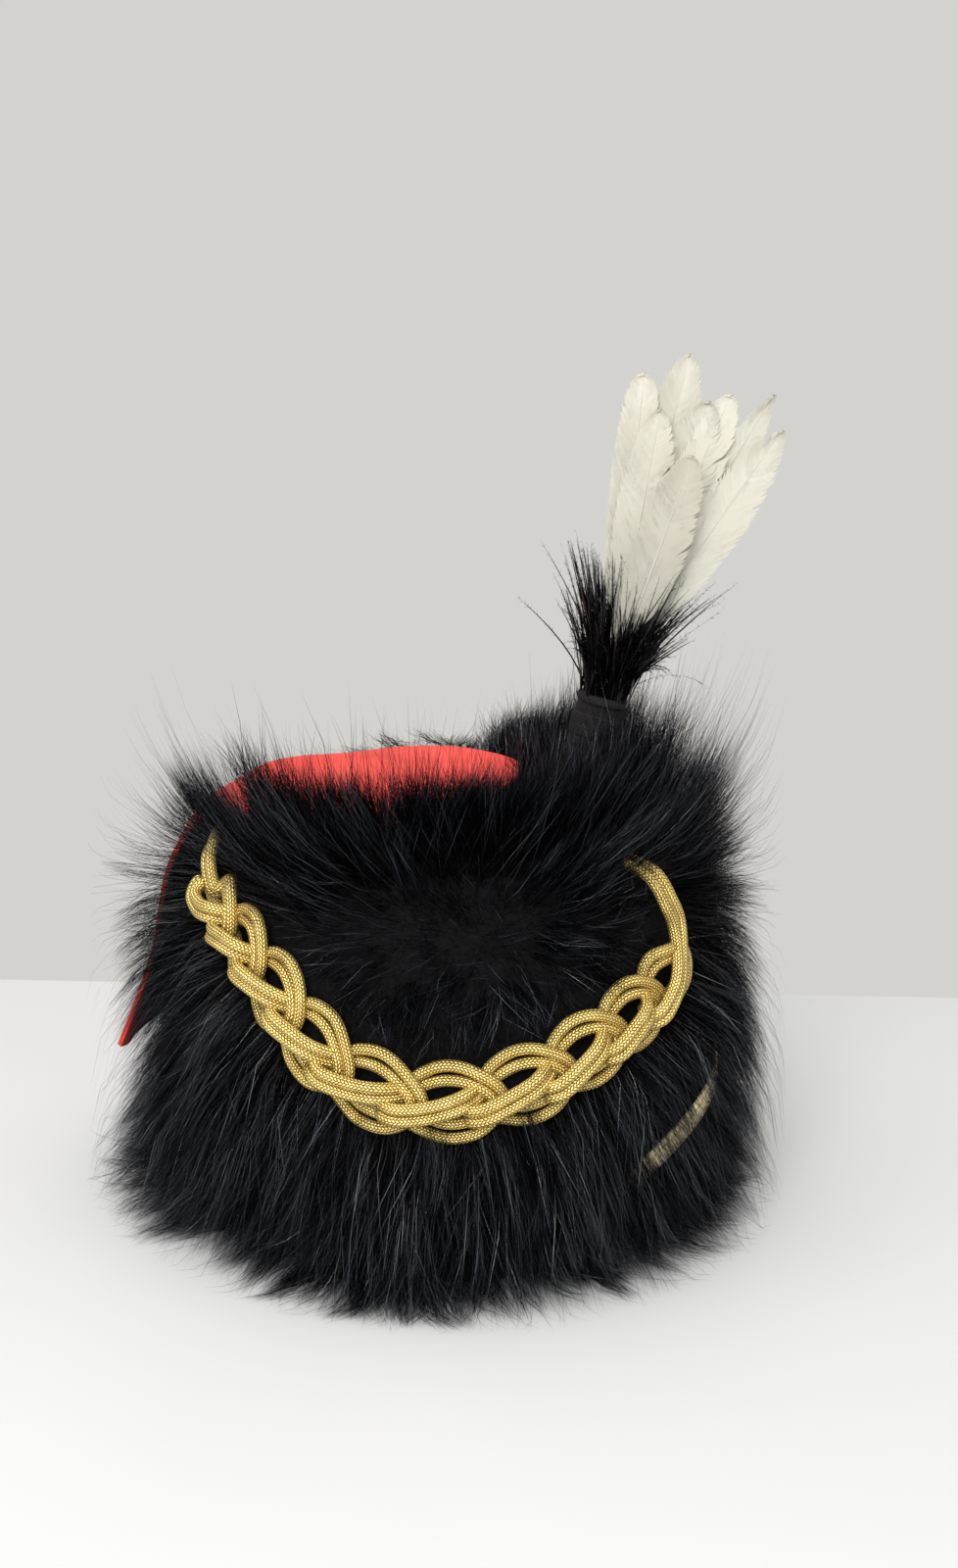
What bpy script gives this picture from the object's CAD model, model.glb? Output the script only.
"""Dresses the solids of a busby with fur, a felt bag, a gold plait, a lace chin strap and a feather plume."""

import math

import bmesh
import bpy
import numpy as np
from bpy.props import FloatProperty, FloatVectorProperty, IntProperty, PointerProperty
from mathutils import Matrix, Vector
from mathutils.bvhtree import BVHTree


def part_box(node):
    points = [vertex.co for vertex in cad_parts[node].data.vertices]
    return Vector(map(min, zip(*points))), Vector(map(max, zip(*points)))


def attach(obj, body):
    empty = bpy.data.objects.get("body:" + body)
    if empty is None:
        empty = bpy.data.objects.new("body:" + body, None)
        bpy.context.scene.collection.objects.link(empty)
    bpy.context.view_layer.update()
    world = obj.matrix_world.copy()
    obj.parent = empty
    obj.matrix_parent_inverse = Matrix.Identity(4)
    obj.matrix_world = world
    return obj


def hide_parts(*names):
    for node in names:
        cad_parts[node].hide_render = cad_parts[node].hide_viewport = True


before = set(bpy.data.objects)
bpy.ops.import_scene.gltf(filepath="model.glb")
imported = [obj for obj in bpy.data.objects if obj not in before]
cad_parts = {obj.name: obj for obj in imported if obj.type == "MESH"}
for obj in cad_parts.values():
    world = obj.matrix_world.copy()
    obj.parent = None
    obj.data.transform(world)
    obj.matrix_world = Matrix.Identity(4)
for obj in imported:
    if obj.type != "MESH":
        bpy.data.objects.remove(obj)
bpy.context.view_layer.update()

bl_info = {
    "name": "Busby Dresser",
    "version": (1, 0, 0),
    "blender": (4, 5, 0),
    "location": "View3D > Sidebar > Busby",
    "description": "Dresses the solids of a busby with fur, felt, gold cord, lace and feathers",
    "category": "Object",
}


def table(names, *rows):
    """Rows of numbers as a table with named columns."""
    return [dict(zip(names.split(), row)) for row in rows]


# Tables of the cap are in millimetres and degrees. Angles go round it from the front (0) by the wearer's
# left (90)
MM = 0.001

# Shell: its sizes from the frame, the half width of its top, and how far out of it the hair is rooted
SHELL_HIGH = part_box("crown_shell")[1]
RIM_HALF = SHELL_HIGH.x
OVAL = SHELL_HIGH.y / SHELL_HIGH.x
CROWN_TOP = SHELL_HIGH.z
TOP_HALF = 86 * MM
PELT_OUT = 2.3 * MM

# Fur: the height of the roots, how far the tips stand out from the shell at the front and back, at the
# wearer's left and on the bag's side, and how far they climb
FUR_TIERS = table(
    "z front left bag rise",
    (0, 38, 36, 52, -4),
    (14, 40, 40, 61, -12),
    (42, 38, 41, 56, -32),
    (70, 38, 45, 52, -37),
    (99, 38, 48, 51, -34),
    (130, 34, 43, 53, -16),
    (146, 30, 37, 51, 8),
    (158, 24, 30, 39, 30),
    (168, 19, 24, 28, 36),
)
# How far the hair on the crown rises, and the share of the rise round the cap. It lies low behind the bag
CROWN_RISE = 40
STAND = table(
    "angle share",
    (-180, 0.06),
    (-168, 0),
    (-130, 0),
    (-100, 0.3),
    (-80, 0.64),
    (-66, 0.98),
    (-50, 0.88),
    (-30, 0.88),
    (0, 1.0),
    (60, 1.04),
    (100, 1.2),
    (135, 1.0),
    (163, 0.6),
    (174, 0.42),
    (180, 0.06),
)
# Wool under the hair, out from the rim, and its depth on the crown
WOOL = table("out z", (2.3, 1), (9, 1.4), (14, 6), (15, 30), (15, 120), (11, 146), (3, 165))
WOOL_DEEP = 1.6

# Bag: stations along its middle from the crown seam to the hanging end. out is the distance from the cap's
# axis towards BAG_ANGLE, front and back the widths to either side, tuck how far the long edges turn in and
# drop how far they fall
BAG_ANGLE = -102
BAG = table(
    "out z front back tuck drop",
    (-17, 175.9, 30, 38, 0, 0),
    (-10, 176.6, 50, 54, 0, 0.5),
    (4, 177, 62, 64, 0, 1),
    (28, 177, 65, 68, 0, 1),
    (58, 177, 60, 61, 2, 3),
    (88, 176, 58, 57, 8, 8),
    (105, 169, 58, 56, 9, 6),
    (117, 144, 56, 54, 8, 0),
    (127, 102, 51, 51, 6, 0),
    (148, 49, 45, 45, 5, -3),
)

# Plait: the route of its middle line, out being the distance from the shell, and the part over the fur
PLAIT_OUT = 26
PLAIT_ROUTE = table(
    "angle z out",
    (-62, 170, 13),
    (-55.5, 166, 22),
    (-53.5, 158, 25),
    (-53, 147, PLAIT_OUT),
    (-42, 136, PLAIT_OUT),
    (-29, 118, PLAIT_OUT),
    (-14, 94, PLAIT_OUT),
    (3, 84, PLAIT_OUT),
    (24, 90, PLAIT_OUT),
    (44, 106, PLAIT_OUT),
    (58.5, 119, PLAIT_OUT),
    (63.5, 131, PLAIT_OUT),
    (60, 152, 23.5),
    (58.5, 161, 20),
    (58, 166, 5),
)
PLAIT_OVER = PLAIT_ROUTE[3:-2]
# One chain stitch of the doubled cord: along is in stitches, side across the plait and level out from the
# cap, for the outer and the inner cord
STITCH = table(
    "along along_in side side_in level",
    (0.24, 0.24, 6.2, 1.4, -2),
    (0.44, 0.44, 11.2, 5.4, -4.8),
    (0.8, 0.8, 15.2, 9, -3.8),
    (1.18, 1.16, 12.6, 6.8, -1.4),
    (1.52, 1.37, 0, 0, 0),
    (1.18, 1.16, -12.6, -6.8, -1.4),
    (0.8, 0.8, -15.2, -9, -3.8),
    (0.44, 0.44, -11.2, -5.4, -4.8),
    (0.17, 0.15, -7, -2, -3.4),
    (0.05, 0.03, -6.8, -2, 0.8),
    (0.22, 0.2, -6, -1.2, 4.8),
    (0.56, 0.56, -3, 1.8, 5.4),
    (0.94, 0.94, -0.2, 4.6, 4),
)
# Lengths of the stitches beside one another, from the wearer's right, and of the plain cords at both ends,
# with the places of the plain cords' points
STITCH_SHARES = (0.7, 0.8, 0.92, 1.06, 1.18, 1.24, 1.2, 1.08, 0.96, 0.86)
LEAD = 32
TAIL = 54
LEAD_SHARES = (0, 0.25, 0.5, 0.72)

# Chin strap: half of its route, from the left end at the hem to the middle of the back, the part that shows,
# and how far out it lies at the right
STRAP_ROUTE = table(
    "angle z out",
    (45, 8, 3.5),
    (49, 24, 12),
    (54, 40, 22),
    (62, 52, 28),
    (70, 60, 30.5),
    (80, 67, 29.5),
    (93, 76, 22),
    (112, 88, 8),
    (145, 89, 8),
    (180, 89, 8),
)
STRAP_SHOWN = STRAP_ROUTE[2:6]
STRAP_RIGHT_OUT = 8

# Plume: its foot on the crown, its lean, and the lengths of its base and herl along its axis
PLUME_FOOT = Vector((51, 31, 174.6)) * MM
PLUME_LEAN = 13
PLUME_LEAN_ANGLE = 98
PLUME_BASE = 41
PLUME_HERL = 30
# White feathers: side is the lean across the fan, fore the lean towards the front, both from the plume's
# axis; wide is the greatest width, bow how far the tip curls forward, curl how far sideways, point how sharp
# the tip is and shade how grey the feather
FEATHERS = table(
    "side fore length wide bow curl point shade",
    (-7, -3, 103, 21, -4, -3, 0.3, 0.12),
    (-4, 4, 90, 24, 4, -1, 0.5, 0.2),
    (-1, -5, 114, 27, -6, 0, 0.5, 0.4),
    (4, 0, 98, 30, 2, 1, 0.5, 0.3),
    (7, 2, 103, 22, 8, 2, 0.35, 0.0),
    (13, -3, 111, 22, -5, 4, 0.95, 0.2),
    (18, 1, 100, 25, 4, 3, 0.7, 0.15),
    (5, 9, 76, 25, 2, -2, 0.4, 0.7),
)
# Vanes: their share of the width at the foot, the place of the widest, and the feet's spread by the lean
FEATHER_FOOT = 0.42
FEATHER_WIDEST = 0.62
FEATHER_SPREAD = 0.36


# Settings that a user would change


class FurSettings(bpy.types.PropertyGroup):
    """Hair of the pelt."""

    hairs: IntProperty(name="Hairs", description="Hairs on each quarter of the side", default=27000, min=100)
    crown_hairs: IntProperty(name="Crown hairs", description="Hairs on the crown", default=27000, min=100)
    guard_hairs: IntProperty(name="Guard hairs", description="Long stray hairs", default=14000, min=10)
    locks: IntProperty(name="Locks", description="Locks that the side hair gathers in", default=2200, min=10)
    width: FloatProperty(
        name="Hair width", description="Width of a hair at its root", default=0.23 * MM, subtype="DISTANCE"
    )
    colour: FloatVectorProperty(
        name="Colour",
        description="Colour of the hair",
        default=(0.0028, 0.0032, 0.0043),
        size=3,
        subtype="COLOR",
    )


class BagSettings(bpy.types.PropertyGroup):
    """Felt bag over the crown."""

    wall: FloatProperty(
        name="Wall", description="Thickness of the felt", default=2.2 * MM, subtype="DISTANCE"
    )
    colour: FloatVectorProperty(
        name="Colour", description="Colour of the felt", default=(0.76, 0.058, 0.045), size=3, subtype="COLOR"
    )


class CordSettings(bpy.types.PropertyGroup):
    """Gold cord of the plait and lace of the chin strap."""

    cord: FloatProperty(name="Cord", description="Diameter of the cord", default=4.9 * MM, subtype="DISTANCE")
    strap_wide: FloatProperty(
        name="Strap", description="Width of the strap", default=11 * MM, subtype="DISTANCE"
    )
    strap_thick: FloatProperty(
        name="Strap wall", description="Thickness of the strap", default=1.5 * MM, subtype="DISTANCE"
    )
    colour: FloatVectorProperty(
        name="Gold", description="Colour of the gold cord", default=(1.0, 0.7, 0.165), size=3, subtype="COLOR"
    )


class PlumeSettings(bpy.types.PropertyGroup):
    """Plume of white feathers in black herl."""

    herls: IntProperty(name="Herls", description="Strands of the black tuft", default=680, min=10)
    barbs: IntProperty(name="Barbs", description="Barbs on each side of a feather", default=120, min=10)
    white: FloatVectorProperty(
        name="White",
        description="Colour of the feathers",
        default=(0.55, 0.53, 0.455),
        size=3,
        subtype="COLOR",
    )


class StageSettings(bpy.types.PropertyGroup):
    """Camera, floor and light."""

    camera_place: FloatVectorProperty(
        name="Camera",
        description="Place of the camera",
        default=(0.1199, -0.7809, 0.40),
        size=3,
        subtype="XYZ",
    )
    turn: FloatProperty(
        name="Turn",
        description="Way that the camera looks, round the cap",
        default=math.radians(8),
        subtype="ANGLE",
    )
    pitch: FloatProperty(
        name="Pitch",
        description="Camera's tilt below the horizon",
        default=math.radians(15.6),
        subtype="ANGLE",
    )
    roll: FloatProperty(name="Roll", description="Camera's roll", default=math.radians(1.1), subtype="ANGLE")
    floor: FloatVectorProperty(
        name="Floor",
        description="Colour of the floor",
        default=(0.585, 0.587, 0.589),
        size=3,
        subtype="COLOR",
    )
    air: FloatVectorProperty(
        name="Air", description="Colour behind the cap", default=(0.655, 0.645, 0.62), size=3, subtype="COLOR"
    )


# Places on the cap


def column(rows, name):
    """One column of a table, as numbers."""
    return np.array([row[name] for row in rows], float)


def shell_half(z):
    """Half width of the shell at a height."""
    return RIM_HALF + (TOP_HALF - RIM_HALF) * np.clip(z / CROWN_TOP, 0, 1)


def on_cap(angle, z, out):
    """Points at angles and heights, a distance out from the shell."""
    half = shell_half(z)
    turn = np.radians(angle)
    x = (half + out) * np.sin(turn)
    y = -(half * OVAL + out) * np.cos(turn)
    return np.stack(np.broadcast_arrays(x, y, z), -1)


def unit(vectors):
    """Vectors made one long."""
    return vectors / np.maximum(np.linalg.norm(vectors, axis=-1, keepdims=True), 1e-12)


def flat_way(angle):
    """The level way out from the cap's axis at an angle."""
    return np.array([math.sin(math.radians(angle)), -math.cos(math.radians(angle)), 0.0])


def turned(angle):
    """Angles between -180 and 180."""
    return (angle + 180) % 360 - 180


def smooth(rows, places):
    """A smooth line through rows of numbers, read at places from 0 to 1: a centripetal Catmull-Rom curve."""
    rows = np.asarray(rows, float)
    ends = np.vstack([2 * rows[0] - rows[1], rows, 2 * rows[-1] - rows[-2]])
    at = np.clip(places, 0, 1) * (len(rows) - 1)
    first = np.minimum(at.astype(int), len(rows) - 2)
    a, b, c, d = (ends[first + k] for k in range(4))
    spans = ((a, b), (b, c), (c, d))
    gaps = [np.sqrt(np.linalg.norm(q - p, axis=-1, keepdims=True)) + 1e-9 for p, q in spans]
    t1, t2, t3 = np.cumsum(gaps, axis=0)
    t = t1 + (at - first)[..., None] * (t2 - t1)
    ab = (a * (t1 - t) + b * t) / t1
    bc = (b * (t2 - t) + c * (t - t1)) / (t2 - t1)
    cd = (c * (t3 - t) + d * (t - t2)) / (t3 - t2)
    abc = (ab * (t2 - t) + bc * t) / t2
    bcd = (bc * (t3 - t) + cd * (t - t1)) / (t3 - t1)
    return (abc * (t2 - t) + bcd * (t - t1)) / (t2 - t1)


def steps_of(line):
    """Lengths of the steps between a line's points."""
    return np.linalg.norm(np.diff(line, axis=0), axis=1)


def even(line, count):
    """A line's points again, evenly spaced along it."""
    run = np.concatenate([[0], np.cumsum(steps_of(line))])
    at = np.linspace(0, run[-1], count)
    return np.stack([np.interp(at, run, line[:, k]) for k in range(3)], -1)


def soft_step(value, low, high):
    """0 below low, 1 above high, and a smooth rise between."""
    t = np.clip((value - low) / (high - low), 0, 1)
    return t * t * (3 - 2 * t)


def hump(value, middle, wide):
    """1 at the middle, and a soft fall to either side."""
    return np.exp(-(((value - middle) / wide) ** 2))


def ways_on_cap(line):
    """The ways across a line on the cap, out from the cap, and along the line."""
    forward = unit(np.gradient(line, axis=0))
    radial = unit(line * (1, 1 / OVAL, 0))
    across = unit(np.cross(radial, forward))
    return across, np.cross(forward, across), forward


# Meshes


def show(name, mesh, material, slot, *nodes):
    """A mesh as a piece of the cap, in its slot, standing for its nodes."""
    piece = bpy.data.objects.new(name, mesh)
    bpy.context.scene.collection.objects.link(piece)
    mesh.materials.clear()
    mesh.materials.append(material)
    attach(piece, "root")
    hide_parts(*nodes)
    return piece


def mesh_of(name, bm):
    """The mesh that a bmesh has made, shaded smooth."""
    mesh = bpy.data.meshes.new(name)
    bm.to_mesh(mesh)
    bm.free()
    mesh.shade_smooth()
    return mesh


def lathe(profile, steps, cuts=0):
    """A bmesh spun about the upright axis from half widths and heights, each step of them cut up first."""
    bm = bmesh.new()
    verts = [bm.verts.new((half, 0, high)) for half, high in profile]
    edges = [bm.edges.new(pair) for pair in zip(verts, verts[1:])]
    if cuts:
        bmesh.ops.subdivide_edges(bm, edges=edges, cuts=cuts)
    bmesh.ops.spin(
        bm,
        geom=bm.verts[:] + bm.edges[:],
        axis=(0, 0, 1),
        cent=(0, 0, 0),
        angle=2 * math.pi,
        steps=steps,
        use_merge=True,
    )
    bmesh.ops.remove_doubles(bm, verts=bm.verts, dist=1e-6)
    return bm


def frames_along(line, up):
    """A turning frame at each point of a line: X across, Y up and Z along, carried on without twist."""
    ways = unit(np.gradient(line, axis=0))
    across = np.cross(up, ways[0])
    frames = []
    for point, way in zip(line, ways):
        across = unit(across - way * (across @ way))
        rise = np.cross(way, across)
        frames.append(Matrix((*np.stack([across, rise, way, point], 1), (0, 0, 0, 1))))
    return frames


def sweep(bm, frames, section, sizes=None):
    """Extrudes a closed section along frames and closes its ends. UVs go round it, and along it in metres."""
    corner = bm.verts.layers.int.get("corner") or bm.verts.layers.int.new("corner")
    length = bm.verts.layers.float.get("length") or bm.verts.layers.float.new("length")
    uv = bm.loops.layers.uv.get("UVMap") or bm.loops.layers.uv.new("UVMap")
    count = len(section)
    sizes = np.ones(len(frames)) if sizes is None else sizes
    ring = [bm.verts.new() for _ in section]
    for k, vert in enumerate(ring):
        vert[corner] = k
    edges = [bm.edges.new((ring[k - 1], ring[k])) for k in range(count)]
    faces = [bm.faces.new(ring[::-1])]
    run = 0.0
    for step, matrix in enumerate(frames):
        if step:
            made = bmesh.ops.extrude_edge_only(bm, edges=edges)["geom"]
            ring = [g for g in made if isinstance(g, bmesh.types.BMVert)]
            new = set(ring)
            edges = [g for g in made if isinstance(g, bmesh.types.BMEdge) and new.issuperset(g.verts)]
            faces += [g for g in made if isinstance(g, bmesh.types.BMFace)]
            run += (matrix.translation - frames[step - 1].translation).length
        for vert in ring:
            x, y = section[vert[corner]]
            vert.co = matrix @ Vector((x * sizes[step], y * sizes[step], 0))
            vert[length] = run
    faces.append(bm.faces.new(sorted(ring, key=lambda vert: vert[corner])))
    for face in faces:
        wraps = {0, count - 1}.issubset({vert[corner] for vert in face.verts}) and len(face.verts) == 4
        for loop in face.loops:
            turn = loop.vert[corner] or (count if wraps else 0)
            loop[uv].uv = (turn / count, loop.vert[length])
    bmesh.ops.recalc_face_normals(bm, faces=faces)


def circle(radius, sides):
    """Corners of a round section."""
    turns = np.linspace(0, 2 * math.pi, sides, endpoint=False)
    return np.stack([np.cos(turns), np.sin(turns)], -1) * radius


def strands(name, lines, across, widths, shade):
    """Flat tapering strands as one mesh, from lines of points and the ways across them.

    The widths go along each strand, and each has one shade.
    """
    count, stations = lines.shape[:2]
    half = across * (np.asarray(widths) / 2)[..., None]
    pairs = np.stack([lines - half, lines + half], 2)[:, :-1].reshape(count, -1, 3)
    points = np.concatenate([pairs, lines[:, -1:]], 1)
    each = points.shape[1]
    quad = np.array([(2 * k, 2 * k + 1, 2 * k + 3, 2 * k + 2) for k in range(stations - 2)], int).ravel()
    tip = np.array([each - 3, each - 2, each - 1])
    order = np.arange(count)[:, None]
    corners = (np.concatenate([quad, tip]) + order * each).ravel()
    starts = np.append(np.arange(0, len(quad), 4), len(quad))
    mesh = bpy.data.meshes.new(name)
    mesh.vertices.add(count * each)
    mesh.vertices.foreach_set("co", points.astype(np.float32).ravel())
    mesh.loops.add(len(corners))
    mesh.loops.foreach_set("vertex_index", corners.astype(np.int32))
    mesh.polygons.add(count * len(starts))
    loop_starts = starts + order * (len(quad) + len(tip))
    mesh.polygons.foreach_set("loop_start", loop_starts.astype(np.int32).ravel())
    mesh.update(calc_edges=True)
    along = np.append(np.repeat(np.linspace(0, 1, stations)[:-1], 2), 1)
    edge = np.append(np.tile([-1, 1], stations - 1), 0)
    values = {"shade": np.repeat(shade, each), "along": np.tile(along, count)}
    for key, value in values.items():
        mesh.attributes.new(key, "FLOAT", "POINT").data.foreach_set("value", value.astype(np.float32))
    margin = 0.01
    u = margin + 0.97 * values["shade"] + np.tile(edge, count) * 0.006
    v = margin + 0.98 * values["along"]
    places = np.stack([u, v], -1)[corners].clip(0, 1)
    layer = mesh.uv_layers.new(name="OFBake")
    layer.uv.foreach_set("vector", places.astype(np.float32).ravel())
    mesh.shade_smooth()
    return mesh


# Finishes


class Finish:
    """A material, and the nodes that lead to its shader."""

    def __init__(self, name):
        self.material = bpy.data.materials.new(name)
        self.material.use_nodes = True
        self.tree = self.material.node_tree
        self.shader = self.tree.nodes["Principled BSDF"]

    def node(self, kind, inputs=None, **settings):
        """A new node with its settings, whose inputs are values or other nodes' outputs."""
        made = self.tree.nodes.new(kind)
        for key, value in settings.items():
            setattr(made, key, value)
        self.feed(made, inputs or {})
        return made

    def feed(self, node, inputs):
        """Links or sets a node's inputs."""
        for key, value in inputs.items():
            if isinstance(value, bpy.types.NodeSocket):
                self.tree.links.new(value, node.inputs[key])
            else:
                node.inputs[key].default_value = value

    def shade(self, **inputs):
        """Links or sets the shader's inputs, named with _ for a space."""
        self.feed(self.shader, {key.replace("_", " "): value for key, value in inputs.items()})
        return self.material

    def calc(self, operation, first, second=0.0, third=0.0):
        """The result of a Math node."""
        return self.node("ShaderNodeMath", {0: first, 1: second, 2: third}, operation=operation).outputs[0]

    def times(self, first, second):
        """The product of two values."""
        return self.calc("MULTIPLY", first, second)

    def blend(self, value, amount, base):
        """An amount of a value, on top of a base."""
        return self.calc("MULTIPLY_ADD", value, amount, base)

    def uneven(self, base, noise, amount):
        """A value made uneven by noise."""
        return self.blend(self.calc("SUBTRACT", noise, 0.5), amount, base)

    def arches(self, value):
        """Round ridges, one for each whole step of a value."""
        return self.calc("SINE", self.times(self.calc("FRACT", value), math.pi))

    def place(self):
        """The piece's own coordinates, in metres."""
        return self.node("ShaderNodeTexCoord").outputs["Object"]

    def swept(self):
        """Places on a swept piece: round it from 0 to 1, and along it in metres."""
        uv = self.node("ShaderNodeUVMap", uv_map="UVMap").outputs["UV"]
        parts = self.node("ShaderNodeSeparateXYZ", {"Vector": uv})
        return parts.outputs["X"], parts.outputs["Y"]

    def noise(self, scale, detail=2.0, roughness=0.5):
        """Noise from 0 to 1."""
        inputs = {"Vector": self.place(), "Scale": scale, "Detail": detail, "Roughness": roughness}
        return self.node("ShaderNodeTexNoise", inputs).outputs["Fac"]

    def wave(self, scale, distortion, direction):
        """Bands from 0 to 1."""
        inputs = {"Vector": self.place(), "Scale": scale, "Distortion": distortion}
        return self.node("ShaderNodeTexWave", inputs, bands_direction=direction).outputs["Fac"]

    def ramp(self, value, *stops):
        """Colours between stops, each a place and a colour."""
        made = self.node("ShaderNodeValToRGB", {"Fac": value})
        elements = made.color_ramp.elements
        while len(elements) < len(stops):
            elements.new(0.5)
        for element, (place, colour) in zip(elements, stops):
            element.position = place
            element.color = (*colour, 1)
        return made.outputs["Color"]

    def bump(self, height, distance, strength=1.0):
        """A normal from a height."""
        inputs = {"Height": height, "Distance": distance, "Strength": strength}
        return self.node("ShaderNodeBump", inputs).outputs["Normal"]

    def spread(self, value, low, high):
        """A value from 0 to 1 spread between low and high."""
        inputs = {"Value": value, "To Min": low, "To Max": high}
        return self.node("ShaderNodeMapRange", inputs).outputs["Result"]

    def attribute(self, name):
        """A number that the piece's mesh holds."""
        return self.node("ShaderNodeAttribute", attribute_name=name).outputs["Fac"]


def tinted(colour, amount):
    """A colour made lighter or darker."""
    return tuple(min(1.0, channel * amount) for channel in colour)


def hair_finish(name, colour, rough):
    """Hair or herl: darker at the root, each strand its own shade, and a few that catch the light."""
    finish = Finish(name)
    shade = finish.attribute("shade")
    depth = finish.times(shade, finish.spread(finish.attribute("along"), 0.4, 1.0))
    stops = ((0.0, 0.08), (0.5, 0.4), (0.74, 3.0), (0.88, 17.0), (1.0, 64.0))
    return finish.shade(
        Base_Color=finish.ramp(depth, *((place, tinted(colour, amount)) for place, amount in stops)),
        Roughness=finish.spread(shade, rough * 1.5, rough),
        Specular_IOR_Level=finish.blend(finish.calc("POWER", shade, 6.0), 0.98, 0.02),
    )


def wool_finish():
    """Dense black wool under the hair."""
    finish = Finish("under_wool")
    tufts = finish.noise(420.0, 4.0)
    return finish.shade(
        Base_Color=finish.ramp(tufts, (0.3, (0.002, 0.002, 0.0022)), (0.7, (0.007, 0.007, 0.008))),
        Roughness=0.95,
        Specular_IOR_Level=0.1,
        Normal=finish.bump(tufts, 1 * MM),
    )


def felt_finish(colour):
    """Wool felt: short fibres every way, a soft nap and slight unevenness of dye."""
    finish = Finish("scarlet_felt")
    fibre = finish.noise(2600.0, 3.0, 0.7)
    cloud = finish.noise(38.0, 3.0)
    mixed = finish.blend(fibre, 0.55, finish.times(cloud, 0.45))
    nap = (colour[0] * 1.1, colour[1] * 1.9, colour[2] * 1.9)
    return finish.shade(
        Base_Color=finish.ramp(mixed, (0.3, tinted(colour, 0.72)), (0.5, colour), (0.72, nap)),
        Roughness=finish.spread(fibre, 0.85, 1.0),
        Specular_IOR_Level=0.2,
        Sheen_Weight=0.12,
        Sheen_Roughness=0.5,
        Sheen_Tint=(1.0, 0.5, 0.45, 1.0),
        Normal=finish.bump(finish.blend(cloud, 0.6, fibre), 0.5 * MM, 0.7),
    )


def cord_finish(colour):
    """Braided gold thread: slanted stitches in columns round the cord, every second column slanted back."""
    finish = Finish("gold_cord")
    around, along = finish.swept()
    columns = finish.times(around, 12.0)
    second = finish.calc("MODULO", finish.calc("FLOOR", columns), 2.0)
    slant = finish.calc("SUBTRACT", finish.times(second, 2.0), 1.0)
    stitch_length = 1.5 * MM
    stitches = finish.times(along, 1 / stitch_length)
    slanted = finish.blend(finish.times(slant, finish.calc("FRACT", columns)), 0.55, stitches)
    ridge = finish.calc("POWER", finish.arches(slanted), 0.8)
    height = finish.times(ridge, finish.calc("POWER", finish.arches(columns), 0.6))
    wear = finish.noise(260.0)
    base = finish.ramp(
        finish.uneven(height, wear, 0.35),
        (0.14, (0.09, 0.04, 0.005)),
        (0.42, tinted(colour, 0.62)),
        (0.72, colour),
        (1.0, (1.0, 0.92, 0.52)),
    )
    return finish.shade(
        Base_Color=base,
        Metallic=0.65,
        Roughness=finish.spread(wear, 0.2, 0.36),
        Normal=finish.bump(height, 0.5 * MM, 0.8),
    )


def lace_finish():
    """Gold lace: flat ribs across lanes of metal thread, with dark threads between."""
    finish = Finish("gold_lace")
    around, along = finish.swept()
    rib_length = 1.9 * MM
    lanes = finish.arches(finish.times(around, 8.0))
    ribs = finish.arches(finish.times(along, 1 / rib_length))
    height = finish.times(finish.calc("POWER", lanes, 0.45), finish.calc("POWER", ribs, 0.35))
    wear = finish.noise(300.0)
    base = finish.ramp(
        finish.uneven(height, wear, 0.4),
        (0.1, (0.3, 0.19, 0.05)),
        (0.4, (1.0, 0.8, 0.4)),
        (0.95, (1.0, 0.92, 0.62)),
    )
    return finish.shade(
        Base_Color=base,
        Metallic=0.15,
        Roughness=finish.spread(wear, 0.3, 0.5),
        Normal=finish.bump(height, 0.5 * MM, 0.8),
    )


def feather_finish(white):
    """Feather: off-white barbs, greyer on some feathers, with a soft satin light."""
    finish = Finish("white_feather")
    streak = finish.noise(900.0)
    mixed = finish.uneven(finish.attribute("shade"), streak, 0.2)
    return finish.shade(
        Base_Color=finish.ramp(mixed, (0.0, tinted(white, 1.12)), (0.4, white), (1.0, (0.5, 0.475, 0.39))),
        Roughness=finish.spread(streak, 0.5, 0.7),
        Specular_IOR_Level=0.35,
        Sheen_Weight=0.2,
        Subsurface_Weight=0.25,
        Subsurface_Radius=(0.004, 0.0038, 0.003),
    )


def tape_finish():
    """Black cotton tape, finely woven."""
    finish = Finish("black_tape")
    fluff = finish.noise(1500.0, 3.0)
    height = finish.blend(fluff, 0.8, finish.wave(520.0, 1.5, "Z"))
    return finish.shade(
        Base_Color=finish.ramp(fluff, (0.3, (0.003, 0.003, 0.0035)), (0.75, (0.022, 0.022, 0.024))),
        Roughness=0.9,
        Specular_IOR_Level=0.25,
        Normal=finish.bump(height, 0.4 * MM, 0.8),
    )


def buckram_finish():
    """Stiffened black cloth: an open square weave under a thin size."""
    finish = Finish("black_buckram")
    weave = finish.times(finish.wave(210.0, 0.4, "Z"), finish.wave(210.0, 0.4, "DIAGONAL"))
    cloud = finish.noise(45.0, 3.0)
    mixed = finish.blend(weave, 0.5, finish.times(cloud, 0.5))
    return finish.shade(
        Base_Color=finish.ramp(mixed, (0.2, (0.012, 0.012, 0.013)), (0.7, (0.05, 0.049, 0.048))),
        Roughness=finish.spread(cloud, 0.6, 0.9),
        Normal=finish.bump(weave, 0.4 * MM, 0.7),
    )


def floor_finish(colour):
    """Painted white table top, matt with faint clouding."""
    finish = Finish("pale_floor")
    cloud = finish.noise(5.0, 4.0)
    return finish.shade(
        Base_Color=finish.ramp(cloud, (0.3, tinted(colour, 0.975)), (0.7, colour)),
        Roughness=finish.spread(cloud, 0.5, 0.65),
        Specular_IOR_Level=0.3,
    )


# Bag


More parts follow.
